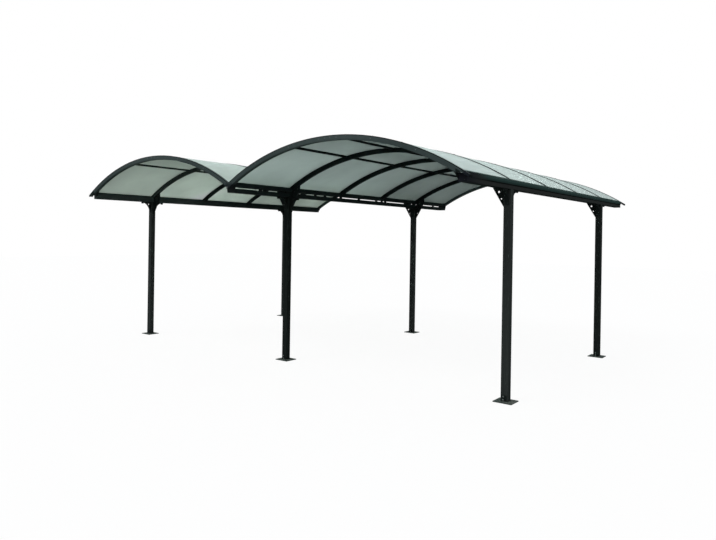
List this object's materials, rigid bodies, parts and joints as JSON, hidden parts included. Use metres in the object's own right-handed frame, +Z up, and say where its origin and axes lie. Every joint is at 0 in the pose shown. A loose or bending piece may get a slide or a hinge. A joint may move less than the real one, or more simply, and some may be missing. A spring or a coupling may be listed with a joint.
{
  "type": "double carport",
  "caption": "Open double carport: side-by-side barrel-vault canopies of clear ribbed sheet on dark metal arches, gutters and slim square posts",
  "frame": {"origin": "centre of the footprint, on the ground", "axes": "+X across the two bays, +Y to the back, +Z up"},
  "size_m": [5.576, 4.95, 2.44],
  "materials": {
    "post_paint": "satin powder coat",
    "base_plate_paint": "satin powder coat",
    "bracket_paint": "satin powder coat",
    "gutter_paint": "satin powder coat",
    "arch_paint": "satin powder coat",
    "end_arch_paint": "satin powder coat",
    "strip_paint": "satin powder coat",
    "roof_sheet": "clear ribbed sheet, faint smoke tint"
  },
  "bodies": {
    "root": {"base_plate_left_front": "base_plate_paint", "base_plate_middle_front": "base_plate_paint", "base_plate_right_front": "base_plate_paint", "base_plate_left_rear": "base_plate_paint", "base_plate_middle_rear": "base_plate_paint", "base_plate_right_rear": "base_plate_paint", "post_left_front": "post_paint", "post_middle_front": "post_paint", "post_right_front": "post_paint", "post_left_rear": "post_paint", "post_middle_rear": "post_paint", "post_right_rear": "post_paint", "post_head_left_front": "bracket_paint", "post_head_middle_front": "bracket_paint", "post_head_right_front": "bracket_paint", "post_head_left_rear": "bracket_paint", "post_head_middle_rear": "bracket_paint", "post_head_right_rear": "bracket_paint", "gutter_left": "gutter_paint", "gutter_right": "gutter_paint", "gutter_end_caps": "gutter_paint", "valley_gutter": "gutter_paint", "eaves_beam_left": "gutter_paint", "eaves_beam_right": "gutter_paint", "valley_spacers": "bracket_paint", "valley_end_caps": "bracket_paint", "front_arch_left": "end_arch_paint", "front_arch_right": "end_arch_paint", "rear_arch_left": "end_arch_paint", "rear_arch_right": "end_arch_paint", "arch_left_1": "arch_paint", "arch_left_2": "arch_paint", "arch_left_3": "arch_paint", "arch_left_4": "arch_paint", "arch_right_1": "arch_paint", "arch_right_2": "arch_paint", "arch_right_3": "arch_paint", "arch_right_4": "arch_paint", "purlins_left": "arch_paint", "purlins_right": "arch_paint", "roof_sheet_left_1": "roof_sheet", "roof_sheet_left_2": "roof_sheet", "roof_sheet_left_3": "roof_sheet", "roof_sheet_left_4": "roof_sheet", "roof_sheet_left_5": "roof_sheet", "roof_sheet_right_1": "roof_sheet", "roof_sheet_right_2": "roof_sheet", "roof_sheet_right_3": "roof_sheet", "roof_sheet_right_4": "roof_sheet", "roof_sheet_right_5": "roof_sheet", "cover_strips_left": "strip_paint", "cover_strips_right": "strip_paint"}
  },
  "joints": []
}
